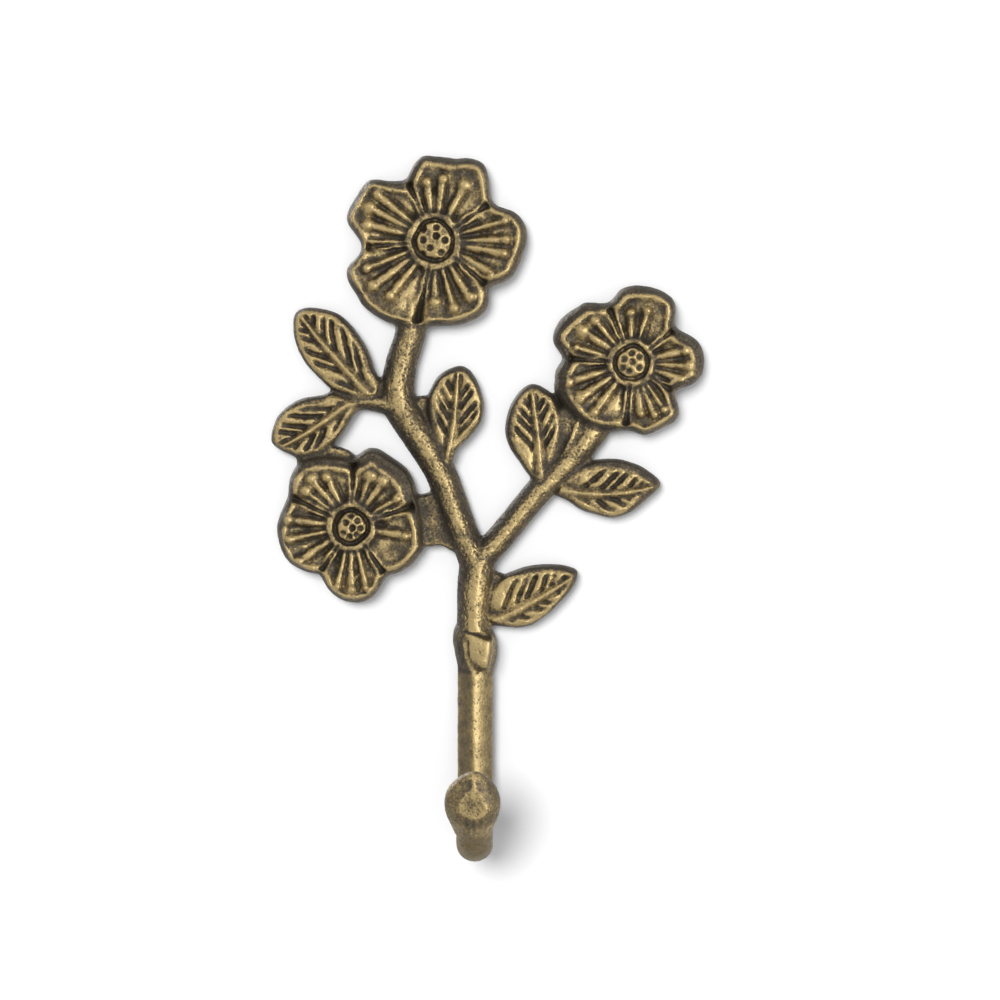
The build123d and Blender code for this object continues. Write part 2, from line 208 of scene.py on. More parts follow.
# bearings in degrees round each flower's centre, everything else in millimetres
flowers = {
    "upper": {
        "centre": (-9.7, 80.4),
        "rims": [
            (12, 2.0), (49, 1.4), (62, 2.0), (79, 2.5), (97, 2.1), (123, 2.6), (140, 1.3), (165, 1.3),
            (202, 1.6), (240, 1.5), (282, 1.3), (312, 2.0), (343, 2.1)],
        "edge": [
            (7, 22.4), (14, 21.9), (20, 20.6), (28, 17.7), (34, 16.7), (41, 17.5), (50, 20.2), (55, 21.7),
            (61, 22.2), (67, 21.8), (76, 20.4), (87, 20.3), (97, 20.9), (101, 20.4), (108, 18.3),
            (114, 16.3), (119, 16.5), (126, 17.8), (132, 20.0), (135, 21.3), (140, 21.8), (146, 21.8),
            (152, 21.8), (158, 22.1), (164, 22.1), (169, 21.4), (173, 19.7), (178, 18.1), (185, 17.7),
            (190, 18.4), (193, 19.8), (195, 21.7), (199, 22.7), (202, 23.0), (207, 23.0), (214, 22.8),
            (221, 23.3), (227, 23.1), (234, 22.9), (241, 22.4), (247, 22.0), (262, 21.3), (267, 20.6),
            (273, 20.3), (283, 20.9), (292, 21.1), (300, 21.1), (307, 20.7), (313, 19.3), (319, 16.9),
            (325, 18.2), (330, 19.5), (335, 20.5), (343, 21.0), (352, 21.5), (359, 22.2)],
        "valleys": [114, 34, -40, -102, -175],
        "stamens": [
            (14.1, 97, 1.0), (14.9, 82, 1.0), (15.2, 61, 1.2), (17.6, 16, 0.9), (17.1, 1, 0.9),
            (16.9, -10, 0.9), (15.2, -29, 0.5), (15.7, -58, 1.1), (16.5, -74, 1.1), (14.6, -90, 1.1),
            (16.8, -129, 1.0), (18.3, -144, 1.1), (17.4, -158, 0.9), (14.9, -177, 0.4), (16.3, 166, 1.1),
            (17.4, 153, 1.2), (17.4, 141, 1.0)],
        "dimples": [
            (-2.7, 0.2), (0.5, 1.2), (2.6, 0.2), (-1.0, -1.7), (-2.9, -3.1), (1.7, -2.9), (0.5, 3.3),
            (-2.7, 2.9)],
        "eyeDepth": 1.0, "eye": 4.3, "groove": 5.2, "ring": 6.4,
    },
    "right": {
        "centre": (37.7, 51.2),
        "rims": [
            (0, 3.0), (20, 3.1), (52, 1.9), (83, 2.5), (109, 2.0), (127, 2.6), (141, 3.0), (165, 2.3),
            (195, 3.2), (218, 2.8), (250, 2.3), (279, 1.3), (305, 2.1), (334, 2.4)],
        "edge": [
            (5, 17.7), (12, 17.5), (18, 17.0), (25, 15.7), (31, 14.4), (39, 13.7), (45, 14.7), (47, 15.7),
            (51, 17.2), (54, 18.2), (60, 18.6), (69, 18.9), (77, 18.8), (85, 18.7), (91, 18.6), (99, 17.8),
            (104, 16.4), (109, 15.4), (114, 15.6), (119, 16.5), (123, 17.3), (127, 18.3), (133, 18.6),
            (142, 19.4), (149, 20.0), (157, 20.2), (162, 20.0), (166, 19.4), (170, 18.1), (174, 16.5),
            (178, 16.4), (183, 17.7), (187, 18.5), (193, 18.8), (199, 19.7), (205, 19.8), (214, 19.5),
            (224, 19.3), (237, 18.8), (246, 18.3), (255, 17.5), (263, 16.5), (270, 16.4), (276, 17.3),
            (280, 17.9), (288, 17.8), (297, 17.6), (306, 17.8), (312, 17.4), (317, 16.0), (321, 14.0),
            (325, 12.6), (333, 13.6), (338, 15.2), (343, 16.4), (350, 17.4), (357, 17.7)],
        "valleys": [112, 38, -35, -95, -184],
        "stamens": [
            (12.1, 91, 0.9), (12.9, 73, 0.9), (13.1, 13, 0.9), (13.8, -3, 1.1), (12.7, -18, 0.9),
            (13.6, -55, 0.9), (13.4, -66, 0.8), (12.3, -79, 0.8), (11.6, -95, 0.7), (14.8, -127, 1.0),
            (14.9, -146, 1.1), (15.7, -163, 1.0), (13.8, 165, 0.8), (13.9, 147, 1.3), (13.4, 131, 1.0)],
        "dimples": [
            (0.2, 0.3), (-1.9, 1.0), (1.8, 1.5), (-0.7, -2.0), (1.8, -1.2), (-2.2, -1.2), (0.0, 2.4)],
        "eyeDepth": 0.6, "eye": 3.6, "groove": 4.4, "ring": 5.3,
    },
    "left": {
        "centre": (-29.9, 11.8),
        "rims": [
            (28, 3.6), (46, 4.2), (71, 3.8), (104, 3.0), (127, 3.0), (145, 1.8), (175, 2.2), (200, 1.5),
            (217, 1.5), (247, 1.6), (270, 1.5), (292, 1.7), (331, 1.9), (352, 2.3)],
        "edge": [
            (1, 17.4), (13, 17.3), (25, 17.4), (30, 17.9), (37, 18.6), (44, 19.1), (53, 19.1), (62, 19.1),
            (69, 19.6), (74, 19.6), (80, 18.7), (84, 17.3), (89, 16.4), (101, 17.2), (112, 18.5),
            (122, 19.6), (130, 20.4), (132, 19.7), (137, 19.5), (143, 18.8), (150, 17.6), (155, 16.9),
            (164, 17.1), (171, 17.6), (180, 18.1), (187, 18.2), (195, 18.2), (203, 18.1), (212, 17.6),
            (220, 16.6), (229, 15.4), (237, 14.1), (243, 15.2), (247, 16.2), (253, 17.2), (261, 18.3),
            (269, 18.8), (277, 19.0), (283, 18.6), (290, 17.5), (295, 16.5), (301, 15.3), (306, 14.9),
            (313, 16.1), (320, 16.8), (327, 17.5), (336, 17.9), (342, 18.6), (349, 18.0)],
        "valleys": [88, 18, -55, -124, -206],
        "stamens": [
            (13.0, 69, 1.2), (13.3, 55, 1.2), (12.9, 31, 1.0), (13.2, -10, 0.9), (15.0, -76, 0.8),
            (15.2, -90, 0.9), (14.9, -103, 0.8), (15.1, -146, 1.0), (15.1, -168, 0.9), (15.1, 174, 1.1),
            (13.8, 142, 1.1), (14.9, 130, 1.0), (13.2, 116, 1.0)],
        "dimples": [
            (-1.2, 1.0), (1.6, 1.4), (0.4, -0.3), (-2.0, -1.7), (-0.4, -2.6), (1.5, -2.1), (2.3, -0.5),
            (0.0, 2.6)],
        "eyeDepth": 0.85, "eye": 3.4, "groove": 4.5, "ring": 5.5,
    },
}
flowerRelief = {
    "steps": [(3.0, 0.0), (4.6, 0.35), (5.9, 0.95), (6.8, 1.6), (7.3, 2.3)],
    "height": 7.4, "fall": 3.0, "rimWidth": 0.1, "outerDish": 0.7, "innerDish": 1.9,
    "valleyWidth": 0.42, "valleyDepth": 1.4, "lip": 0.3, "stamenWidth": 0.84,
    "stamenRise": 1.15, "knobRise": 1.55, "knob": 1.35, "trench": 0.7, "eyeRise": 0.3, "grooveDepth": 1.9,
    "dimple": 0.72, "dimpleDepth": 1.1, "wobble": 0.3,
}


def flowerOutline(flower):
    cx, cz = flower["centre"]
    bearings = np.array([bearing for bearing, _ in flower["edge"]], float)
    reaches = np.array([reach for _, reach in flower["edge"]], float)
    turn = np.arange(0, 360, 4.0)
    reach = np.interp(turn, bearings, reaches, period=360)
    return [(cx + r * math.cos(math.radians(t)), cz + r * math.sin(math.radians(t)))
            for t, r in zip(turn, reach)]


def rimLine(form, x, z):
    # how far in from the outline the raised rims run: the walls are wider on some sides
    bearing = np.degrees(np.arctan2(z - form["centre"][1], x - form["centre"][0]))
    places, insets = zip(*form["rims"])
    return np.interp(bearing, places, insets, period=360) + 0.35 * ripple(x, z, 5.0, 12)


def valleyDistance(flower, x, z):
    # distance to the nearest valley between two petals
    dx, dz = x - flower["centre"][0], z - flower["centre"][1]
    r, bearing = np.hypot(dx, dz), np.degrees(np.arctan2(dz, dx))
    nearest = np.full(len(x), 1e9)
    for place in flower["valleys"]:
        away = np.radians((bearing - place + 180) % 360 - 180)
        nearest = np.minimum(nearest, np.where(np.abs(away) < 1.2, np.abs(np.sin(away)) * r, 1e9))
    return nearest


def flowerHeight(flower, x, z, inset):
    size = flowerRelief
    cx, cz = flower["centre"]
    # everything wavers a little, as in a hand-chased mould
    waver = 0.22 * ripple(x, z, 1.7, cx + 3)
    dx, dz = x - cx, z - cz
    r = np.hypot(dx, dz) + 0.5 * waver + 0.55 * ripple(x, z, 4.2, cz)
    valley = np.abs(valleyDistance(flower, x, z) + 1.3 * waver)
    rim = rimLine(flower, x, z)
    outer = inset - rim + 0.6 * waver
    lip = valley - size["lip"] + 0.5 * ripple(x, z, 3.0, cz)
    ring = r - flower["ring"]
    # how far a point is inside its petal's raised rim, with round corners
    inner = -np.log(np.exp(-2.6 * outer) + np.exp(-2.6 * lip) + np.exp(-2.6 * ring)) / 2.6
    reach = np.clip(ring / 11.0, 0, 1)
    dish = size["innerDish"] + (size["outerDish"] - size["innerDish"]) * reach
    height = size["height"] - dish * ease(size["rimWidth"], size["rimWidth"] + 1.3, inner)
    height -= size["fall"] * np.clip(-outer / rim, 0, 1) ** 1.5
    floor = size["height"] - dish
    trench = np.zeros(len(x))
    ridges = np.full(len(x), -1e9)
    for stamenReach, place, knob in flower["stamens"]:
        a = math.radians(place)
        # each stamen has its own root and thickness
        root = flower["ring"] * (0.98 + 0.14 * math.sin(place * 7))
        start = (cx + root * math.cos(a), cz + root * math.sin(a))
        end = (cx + stamenReach * math.cos(a), cz + stamenReach * math.sin(a))
        away, along = lineDistance(x, z, start, end)
        away = np.abs(away + waver * 0.6)
        width = size["stamenWidth"] * (0.8 + 0.35 * along) * (1 + 0.2 * math.sin(place * 3))
        bar = size["stamenRise"] * (1.25 - 0.35 * along) * np.exp(-(away / width) ** 3)
        ridges = np.maximum(ridges, floor + bar - 9 * ease(1.2, 1.9, away))
        ball = np.hypot(x - end[0], z - end[1]) + waver
        ballSize = size["knob"] * knob
        knobTop = size["knobRise"] * np.exp(-np.abs(ball / ballSize) ** 3.5)
        ridges = np.maximum(ridges, floor + knobTop - 9 * ease(1.3 * ballSize, 2.0 * ballSize, ball))
        # dark trenches on both sides of the stamen and round its knob
        trench = np.maximum(trench, np.exp(-((away - 1.4) / 0.42) ** 2) * (1.15 - 0.5 * along))
    height -= size["trench"] * trench * ease(0.1, 1.0, inner)
    height = np.maximum(height, ridges)
    # valleys open out towards the flower's edge
    opening = size["valleyWidth"] * (0.75 + 1.5 * reach ** 2)
    cut = np.exp(-(valley / opening) ** 2) * ease(-0.6, 1.0, ring) * (0.8 + 1.1 * reach ** 2)
    # the petals' edges sink towards the valley
    height -= 0.7 * np.exp(-(valley / 1.5) ** 2) * ease(0.0, 2.0, ring)
    height -= size["valleyDepth"] * cut * (1 + 1.5 * waver)
    # ring round the eye
    ringMiddle = (flower["groove"] + flower["ring"]) / 2
    ringTop = size["height"] - 1.6 - 1.3 * np.abs((r - ringMiddle) / 1.4) ** 2.4 + 3.4 * waver - 0.7 * cut
    ringTop += 0.4 * ripple(x, z, 1.1, cz + 5)
    height = np.where(r < flower["ring"] + 1.2, np.maximum(height, ringTop), height)
    # groove and eye
    depth = ease(flower["groove"] + 0.25, flower["groove"] - 0.45, r)
    height = height + (size["height"] - size["grooveDepth"] - height) * depth
    dome = size["height"] + size["eyeRise"] - 0.8 * (r / flower["eye"]) ** 3 + waver
    for ax, az in flower["dimples"]:
        away = np.hypot(dx - ax, dz - az)
        dome = dome - size["dimpleDepth"] * flower["eyeDepth"] * np.exp(-(away / size["dimple"]) ** 3)
        dome = dome + 0.22 * np.exp(-((away - 1.1) / 0.3) ** 2)
    eye = ease(flower["eye"] + 0.45, flower["eye"] - 0.15, r)
    return height + (dome - height) * eye


leaves = {
    "upperLeaf": {
        "edge": [
            (-34.8, 44.7), (-37.4, 47.1), (-40.6, 50.5), (-42.3, 53.1), (-43.5, 56.0), (-44.0, 59.2),
            (-44.0, 62.1), (-43.0, 63.8), (-41.1, 64.5), (-38.4, 64.5), (-35.5, 64.0), (-32.6, 62.8),
            (-30.2, 60.6), (-27.8, 57.5), (-26.1, 54.8), (-25.1, 51.9), (-24.4, 49.5), (-23.4, 47.8),
            (-22.0, 45.6), (-23.0, 42.3), (-27.8, 42.0), (-31.4, 43.2)],
        "midrib": [(-21.0, 40.6), (-25.6, 43.6), (-31.5, 50.0), (-37.6, 56.8), (-41.6, 62.0)],
        "veins": [0.30, 0.43, 0.56, 0.70, 0.83], "lean": 36, "seed": 3.1,
        "rims": [(40, 1.9), (130, 1.3), (215, 1.2), (310, 1.3)],
    },
    "lowerLeaf": {
        "edge": [
            (-34.8, 44.4), (-36.9, 43.2), (-39.8, 43.0), (-42.7, 42.3), (-45.2, 40.8), (-47.1, 39.1),
            (-48.3, 37.4), (-49.3, 34.5), (-49.5, 32.4), (-49.0, 31.2), (-47.1, 29.9), (-44.7, 29.0),
            (-43.0, 28.0), (-39.8, 28.5), (-36.2, 29.7), (-33.8, 31.9), (-32.6, 33.3), (-30.9, 35.7),
            (-29.7, 37.9), (-28.5, 39.6), (-27.3, 41.8), (-30.7, 43.5)],
        "midrib": [(-25.5, 42.2), (-30.0, 41.4), (-35.0, 38.0), (-41.0, 34.0), (-46.9, 30.8)],
        "veins": [0.36, 0.50, 0.64, 0.78], "lean": 38, "seed": 5.7,
        "rims": [(30, 1.3), (125, 1.7), (210, 1.2), (305, 1.2)],
    },
    "middleLeaf": {
        "edge": [
            (-3.9, 50.5), (-6.5, 49.7), (-8.9, 48.1), (-10.6, 45.4), (-11.6, 43.0), (-11.8, 40.3),
            (-11.4, 36.9), (-10.4, 33.6), (-9.2, 30.7), (-8.2, 28.3), (-7.4, 25.8), (-5.6, 26.4),
            (-4.6, 29.9), (-2.9, 31.6), (-1.2, 33.1), (0.7, 35.5), (1.9, 37.9), (2.2, 41.1), (1.7, 43.5),
            (0.5, 47.1), (-1.2, 49.3), (-2.4, 50.2)],
        "midrib": [(-7.6, 25.6), (-6.3, 30.5), (-5.2, 36.0), (-4.6, 42.0), (-4.1, 48.8)],
        "veins": [0.34, 0.48, 0.62, 0.76], "lean": 36, "seed": 8.3,
        "rims": [(0, 1.3), (80, 1.7), (170, 1.8), (270, 1.2)],
    },
    "innerLeaf": {
        "edge": [
            (13.5, 46.1), (11.6, 45.2), (9.7, 43.0), (8.2, 40.3), (7.5, 37.4), (7.2, 34.3), (7.7, 32.1),
            (8.9, 29.7), (10.4, 27.8), (11.8, 25.6), (13.3, 23.4), (15.2, 21.5), (17.1, 22.4), (18.8, 26.3),
            (20.3, 29.7), (21.0, 33.1), (21.0, 36.9), (20.5, 40.3), (19.3, 43.2), (17.1, 44.9),
            (15.2, 45.9)],
        "midrib": [(16.2, 22.6), (15.6, 28.0), (15.2, 33.5), (14.5, 39.0), (13.7, 44.6)],
        "veins": [0.30, 0.45, 0.60, 0.75], "lean": 36, "seed": 11.9,
        "rims": [(0, 1.2), (95, 1.7), (180, 1.9), (270, 1.2)],
    },
    "outerLeaf": {
        "edge": [
            (28.3, 27.3), (30.2, 27.8), (33.1, 28.0), (35.5, 27.8), (38.6, 26.8), (41.1, 25.6),
            (43.5, 23.9), (44.9, 22.5), (45.2, 21.5), (44.0, 20.0), (42.3, 18.8), (39.8, 16.4),
            (37.4, 14.7), (35.0, 13.8), (32.6, 13.5), (29.7, 14.2), (27.3, 15.0), (24.9, 15.9),
            (22.9, 17.4), (21.0, 18.4), (18.8, 19.2), (19.5, 22.0), (22.4, 24.9), (25.8, 26.6)],
        "midrib": [(19.5, 20.6), (24.5, 19.9), (31.0, 19.5), (37.5, 20.0), (43.6, 21.3)],
        "veins": [0.26, 0.40, 0.54, 0.68, 0.82], "lean": 42, "seed": 14.2,
        "rims": [(10, 2.4), (70, 2.6), (180, 1.3), (280, 1.2)],
    },
    "lowLeaf": {
        "edge": [
            (7.5, 0.0), (9.7, 0.7), (12.1, 1.7), (15.7, 2.2), (20.5, 2.2), (22.9, 1.7), (24.6, 1.0),
            (25.1, 0.2), (24.6, -1.9), (22.9, -4.6), (21.0, -6.8), (18.6, -9.2), (16.2, -11.1),
            (13.3, -12.8), (10.4, -13.3), (8.0, -13.0), (5.3, -12.8), (2.6, -12.4), (2.1, -8.0),
            (2.9, -4.0), (5.0, -1.5)],
        "midrib": [(3.2, -12.0), (8.5, -9.6), (14.0, -6.6), (19.5, -3.4), (24.0, -0.3)],
        "veins": [0.13, 0.26, 0.40, 0.54, 0.68, 0.82], "lean": 40, "seed": 17.5,
        "rims": [(15, 1.6), (80, 1.9), (180, 1.3), (300, 1.2)],
    },
}
leafRelief = {
    "steps": [(2.4, 0.0), (3.6, 0.3), (4.5, 0.8), (5.1, 1.35), (5.3, 1.9)],
    "height": 5.4, "fall": 1.6, "rimWidth": 0.2, "floor": 0.4, "pillow": 0.55,
    "veinWidth": 0.36, "veinDepth": 0.66, "ribWidth": 0.92, "ribRise": 1.15, "trench": 0.5,
}


def leafHeight(leaf, x, z, inset):
    size = leafRelief
    rib = [tuple(point) for point in smoothRun(leaf["midrib"], 4)]
    away = np.full(len(x), 1e9)
    along = np.zeros(len(x))
    side = np.ones(len(x))
    for index, (start, end) in enumerate(zip(rib, rib[1:])):
        distance, t = lineDistance(x, z, start, end)
        closer = distance < away
        away = np.where(closer, distance, away)
        along = np.where(closer, (index + t) / (len(rib) - 1), along)
        cross = (end[0] - start[0]) * (z - start[1]) - (end[1] - start[1]) * (x - start[0])
        side = np.where(closer, np.sign(cross), side)
    length = sum(math.dist(a, b) for a, b in zip(rib, rib[1:]))
    waver = 0.2 * ripple(x, z, 1.4, leaf["seed"])
    rim = rimLine(leaf, x, z)
    inner = inset - rim + waver
    height = size["height"] - size["floor"] * ease(size["rimWidth"], size["rimWidth"] + 0.6, inner)
    height -= size["fall"] * np.clip(-inner / rim, 0, 1) ** 1.5
    # veins run outwards and towards the tip, and what stands between them is plump
    slope = 1 / math.tan(math.radians(leaf["lean"]))
    foot = along * length - away * slope
    nearest = np.full(len(x), 1e9)
    for count, share in enumerate(leaf["veins"]):
        shift = 0.9 if count % 2 else -0.4
        place = share * length + np.where(side > 0, shift * 0.5, -shift * 0.5)
        nearest = np.minimum(nearest, np.abs(foot - place) * math.sin(math.radians(leaf["lean"])))
    nearest = np.abs(nearest + waver)
    inside = ease(size["ribWidth"], size["ribWidth"] + 0.5, away) * ease(0.0, 0.5, inner)
    height += size["pillow"] * ease(0.2, 0.9, nearest) * inside
    # the slots fade out towards the rim, some sooner than others
    taper = ease(0.0, 2.4, inner + 2.0 * ripple(x, z, 3.1, leaf["seed"] + 5))
    width = size["veinWidth"] * (0.7 + 0.6 * taper)
    height -= size["veinDepth"] * np.exp(-(nearest / width) ** 2) * inside * taper
    # midrib
    width = size["ribWidth"] * (1.25 - 0.75 * along)
    height -= size["trench"] * np.exp(-((away - 1.6 * width) / 0.38) ** 2) * ease(0.0, 0.6, inner)
    height -= 0.9 * ease(0.2, 0.04, along) * ease(0.9, 1.5, away)
    ribTop = size["height"] - size["floor"] + size["ribRise"] * np.exp(-(away / width) ** 2)
    return np.maximum(height, ribTop - 6 * ease(1.5 * width, 3 * width, away))


limbs = {  # x, z, width, height
    "trunk": [(0.0, -18.6, 8.2, 7.6), (-0.2, -13.8, 8.2, 7.9), (-0.2, -6.0, 8.2, 8.0), (0.2, -1.2, 8.6, 7.9),
              (0.7, 3.6, 8.2, 7.4)],
    "leftLimb": [(0.7, 1.2, 7.2, 7.4), (-3.4, 10.9, 7.4, 7.2), (-7.7, 22.9, 7.4, 7.0), (-9.9, 27.4, 7.6, 7.0),
                 (-14.0, 34.0, 8.0, 7.0), (-18.0, 40.6, 8.4, 7.0), (-18.8, 45.0, 8.0, 6.9),
                 (-17.6, 51.9, 7.4, 6.8), (-15.9, 57.2, 7.2, 6.8), (-14.8, 63.5, 7.6, 6.6)],
    "rightLimb": [(0.6, 1.6, 6.8, 7.4), (2.4, 4.6, 6.6, 7.2), (7.2, 10.1, 6.4, 6.9),
                  (12.1, 16.2, 6.4, 6.7), (16.9, 21.7, 6.8, 6.6), (22.6, 27.4, 7.2, 6.6),
                  (27.2, 33.2, 7.4, 6.4), (31.0, 38.4, 7.4, 6.2)],
    "stemEdge": [(18.4, 24.2, 3.2, 5.4), (21.4, 28.9, 2.8, 5.9), (24.1, 35.0, 2.6, 5.9),
                 (25.4, 38.6, 2.4, 5.5)],
    "twig": [(-18.2, 40.3, 6.4, 6.4), (-21.7, 41.3, 5.2, 5.9), (-24.9, 41.9, 4.8, 5.6),
             (-27.8, 42.0, 4.6, 5.5), (-30.2, 41.2, 4.6, 5.4), (-33.5, 39.2, 4.2, 5.0)],
}
webs = {  # low rough metal left between what stands close together
    "flowerWeb": {"edge": [(-15.0, 19.0), (-11.0, 19.8), (-6.0, 20.5), (-2.5, 12.0), (-4.5, 4.5),
                           (-8.2, 7.2), (-11.0, 6.3), (-14.5, 7.2), (-18.0, 11.0)], "height": 4.4},
    "middleWeb": {"edge": [(-14.8, 42.6), (-12.2, 43.6), (-9.5, 42.0), (-4.5, 27.0), (-8.0, 22.0),
                           (-13.0, 30.0)], "height": 3.6},
    "innerWeb": {"edge": [(13.0, 24.0), (18.5, 26.0), (20.5, 31.0), (20.8, 37.0), (20.4, 41.0),
                          (24.0, 40.5), (27.5, 36.5), (28.5, 30.0), (22.0, 22.5), (15.0, 20.0)],
                 "height": 4.6},
    "outerWeb": {"edge": [(20.0, 18.8), (18.4, 21.5), (24.0, 28.0), (28.4, 29.0), (28.3, 26.6)],
                 "height": 4.2},
    "lowWeb": {"edge": [(2.0, 1.0), (7.4, 0.2), (8.2, -4.0), (6.0, -12.6), (2.0, -12.6)], "height": 4.2},
    "leafWeb": {"edge": [(-43.0, 30.0), (-36.0, 31.5), (-29.8, 30.0), (-28.8, 27.0), (-36.0, 24.0),
                         (-43.4, 25.5)], "height": 4.6},
}
collar = {  # z, half width, height, rows down the swollen band
    "rows": [(-13.2, 4.2, 7.9), (-14.2, 4.9, 8.6), (-16.0, 5.25, 9.3), (-18.2, 5.2, 9.4), (-20.4, 4.8, 9.0),
             (-22.2, 4.45, 8.3), (-23.4, 4.2, 7.9)],
    "lap": [(-1.9, -14.2), (-0.4, -13.9), (2.6, -15.2), (4.2, -14.6), (4.4, -17.0), (3.9, -21.0),
            (3.2, -23.0), (1.6, -23.2), (0.2, -22.4), (-0.6, -20.2), (-1.6, -17.6)],
    "lapSteps": [(7.6, 0.0), (8.5, 0.45), (9.1, 1.0), (9.5, 1.6), (9.7, 2.3)], "skew": 0.22,
    "brow": [(-2.4, -13.3), (0.2, -13.8), (3.4, -15.0)], "browDepth": 0.55, "browLip": 0.35, "lipBelow": 0.9,
    "crease": [(-1.9, -16.0), (-1.6, -19.8), (-0.4, -22.0), (0.6, -23.3), (3.0, -23.6)], "creaseDepth": 0.5,
}
hook = {
    "halfWidth": 4.3, "thick": 8.2, "crest": -0.6, "armHalf": 4.4, "armThick": 8.0,
    "top": -18.0, "bendStart": -52.3, "bendRadius": 11.6, "bendAngle": 150, "bareTop": -23.2,
    "crestRise": 0.15, "crestFall": 4.4, "leftPower": 1.15, "rightPower": 1.9,
}
bud = {  # along the axis, radius
    "rows": [(-1.0, 4.2), (0.4, 4.5), (2.0, 5.0), (3.8, 5.6), (5.6, 6.0), (7.4, 6.15), (9.2, 6.0),
             (10.8, 5.5), (12.2, 4.7), (13.6, 3.65), (14.8, 2.6), (15.7, 1.5), (16.2, 0.5)],
    "worn": 34.75, "ridge": (12.0, 15.9), "fuller": 1.15, "thinner": 0.42,
    "ridgeRise": 0.5, "creaseDepth": 0.26, "flattening": 0.93,
}


def hookRing(station):
    # one ring of the hook's bar: the crested shaft turns into a round arm along the bend
    angle, level = station
    share = min(max(angle / 80, 0), 1)
    half = hook["halfWidth"] + (hook["armHalf"] - hook["halfWidth"]) * share
    thick = hook["thick"] + (hook["armThick"] - hook["thick"]) * share
    turn = math.radians(angle)
    centreY = -hook["thick"] / 2 - hook["bendRadius"]
    outY, outZ = math.cos(turn), -math.sin(turn)
    ring = []
    crest = hook["crest"]
    crested = [(-0.82, -1.0), (-0.4, -1.0), (0.0, -1.0), (0.4, -1.0), (0.82, -1.0), (0.96, -0.86),
               (1.0, -0.5), (1.0, -0.14), (0.88, 0.24), (0.66, 0.55), (0.3, 0.83),
               (crest / half + 0.06, 0.985), (crest / half - 0.05, 0.985), (-0.4, 0.68), (-0.72, 0.34),
               (-0.96, 0.04), (-1.0, -0.3), (-0.97, -0.8)]
    for index, (a, b) in enumerate(crested):
        start = math.atan2(-1.0, -0.82)
        swing = start + 2 * math.pi * index / len(crested)
        a = a + (math.cos(swing) - a) * share
        b = b + (math.sin(swing) - b) * share
        radius = hook["bendRadius"] - b * thick / 2
        ring.append((a * half, centreY + outY * radius, hook["bendStart"] + outZ * radius + level))
    return ring


def makeHook():
    rings = [hookRing((0, level)) for level in np.linspace(hook["top"] - hook["bendStart"], 0, 9)]
    rings += [hookRing((angle, 0)) for angle in np.linspace(6, hook["bendAngle"], 25)]
    return rollSheet("shaftAndHook", rings)


turn = math.radians(hook["bendAngle"])
hookCentre = Vector((0, -hook["thick"] / 2 - hook["bendRadius"], hook["bendStart"]))
budFoot = hookCentre + Vector((0, math.cos(turn), -math.sin(turn))) * hook["bendRadius"]
budAxis = Vector((0, -math.sin(turn), -math.cos(turn)))
budOut = Vector((1, 0, 0)).cross(budAxis)
if budOut.y > 0:
    budOut = -budOut


def makeBud():
    rings = []
    for along, radius in smoothRun(bud["rows"], 3):
        ring = []
        for count in range(40):
            swing = 2 * math.pi * count / 40
            point = budFoot + budAxis * along
            aside = radius * math.cos(swing) * (1 if math.cos(swing) > 0 else bud["fuller"])
            ahead = radius * math.sin(swing)
            if ahead > 0:
                ahead *= 1 - bud["thinner"] * min(max((along - 9) / 6, 0), 1)
            point += Vector((1, 0, 0)) * aside + budOut * ahead
            ring.append(tuple(point))
        rings.append(ring)
    return rollSheet("bud", rings)


def makeCollar():
    rings = []
    for z, half, height in smoothRun(collar["rows"], 3):
        # the band runs down to the right
        ring = [(a * half, -b * height, z - collar["skew"] * a * half) for a, b in limbSection["shape"]]
        rings.append(ring)
    return rollSheet("collarBand", rings)


print("shaping the forms")
forms = []
flowerOutlines = {}
for name, flower in flowers.items():
    outline = flowerOutline(flower)
    flowerOutlines[name] = softenOutline(outline, 1)
    forms.append(makePlate(name + "Flower", outline, flowerRelief["steps"], flower["centre"]))
leafOutlines = {}
for name, leaf in leaves.items():
    outline = leaf["edge"]
    leafOutlines[name] = softenOutline(outline, 2)
    leaf["centre"] = middleOf(outline)
    forms.append(makePlate(name, outline, leafRelief["steps"], leaf["centre"]))
forms += [makeLimb(name, stations) for name, stations in limbs.items()]
for name, web in webs.items():
    top = web["height"]
    forms.append(makePlate(name, web["edge"], [(top * 0.7, 0.1), (top, 0.8)], middleOf(web["edge"])))
forms += [makeCollar(), makeHook(), makeBud()]
forms.append(makePlate("lap", collar["lap"], collar["lapSteps"], middleOf(collar["lap"])))

print("fusing them into one casting")
selectOnly(*forms)
bpy.ops.object.join()
casting = bpy.context.object
casting.name = "branch_hook_casting"
bpy.ops.object.transform_apply()


def applyModifier(item, kind, **settings):
    modifier = item.modifiers.new(kind, kind)
    for key, value in settings.items():
        setattr(modifier, key, value)
    bpy.ops.object.modifier_apply(modifier=modifier.name)


mesh = {"firstVoxel": 0.4, "secondVoxel": 0.26, "triangles": 182000}
selectOnly(casting)
applyModifier(casting, "REMESH", mode="VOXEL", voxel_size=mesh["firstVoxel"] * mm, adaptivity=0)
applyModifier(casting, "SMOOTH", factor=0.5, iterations=6)

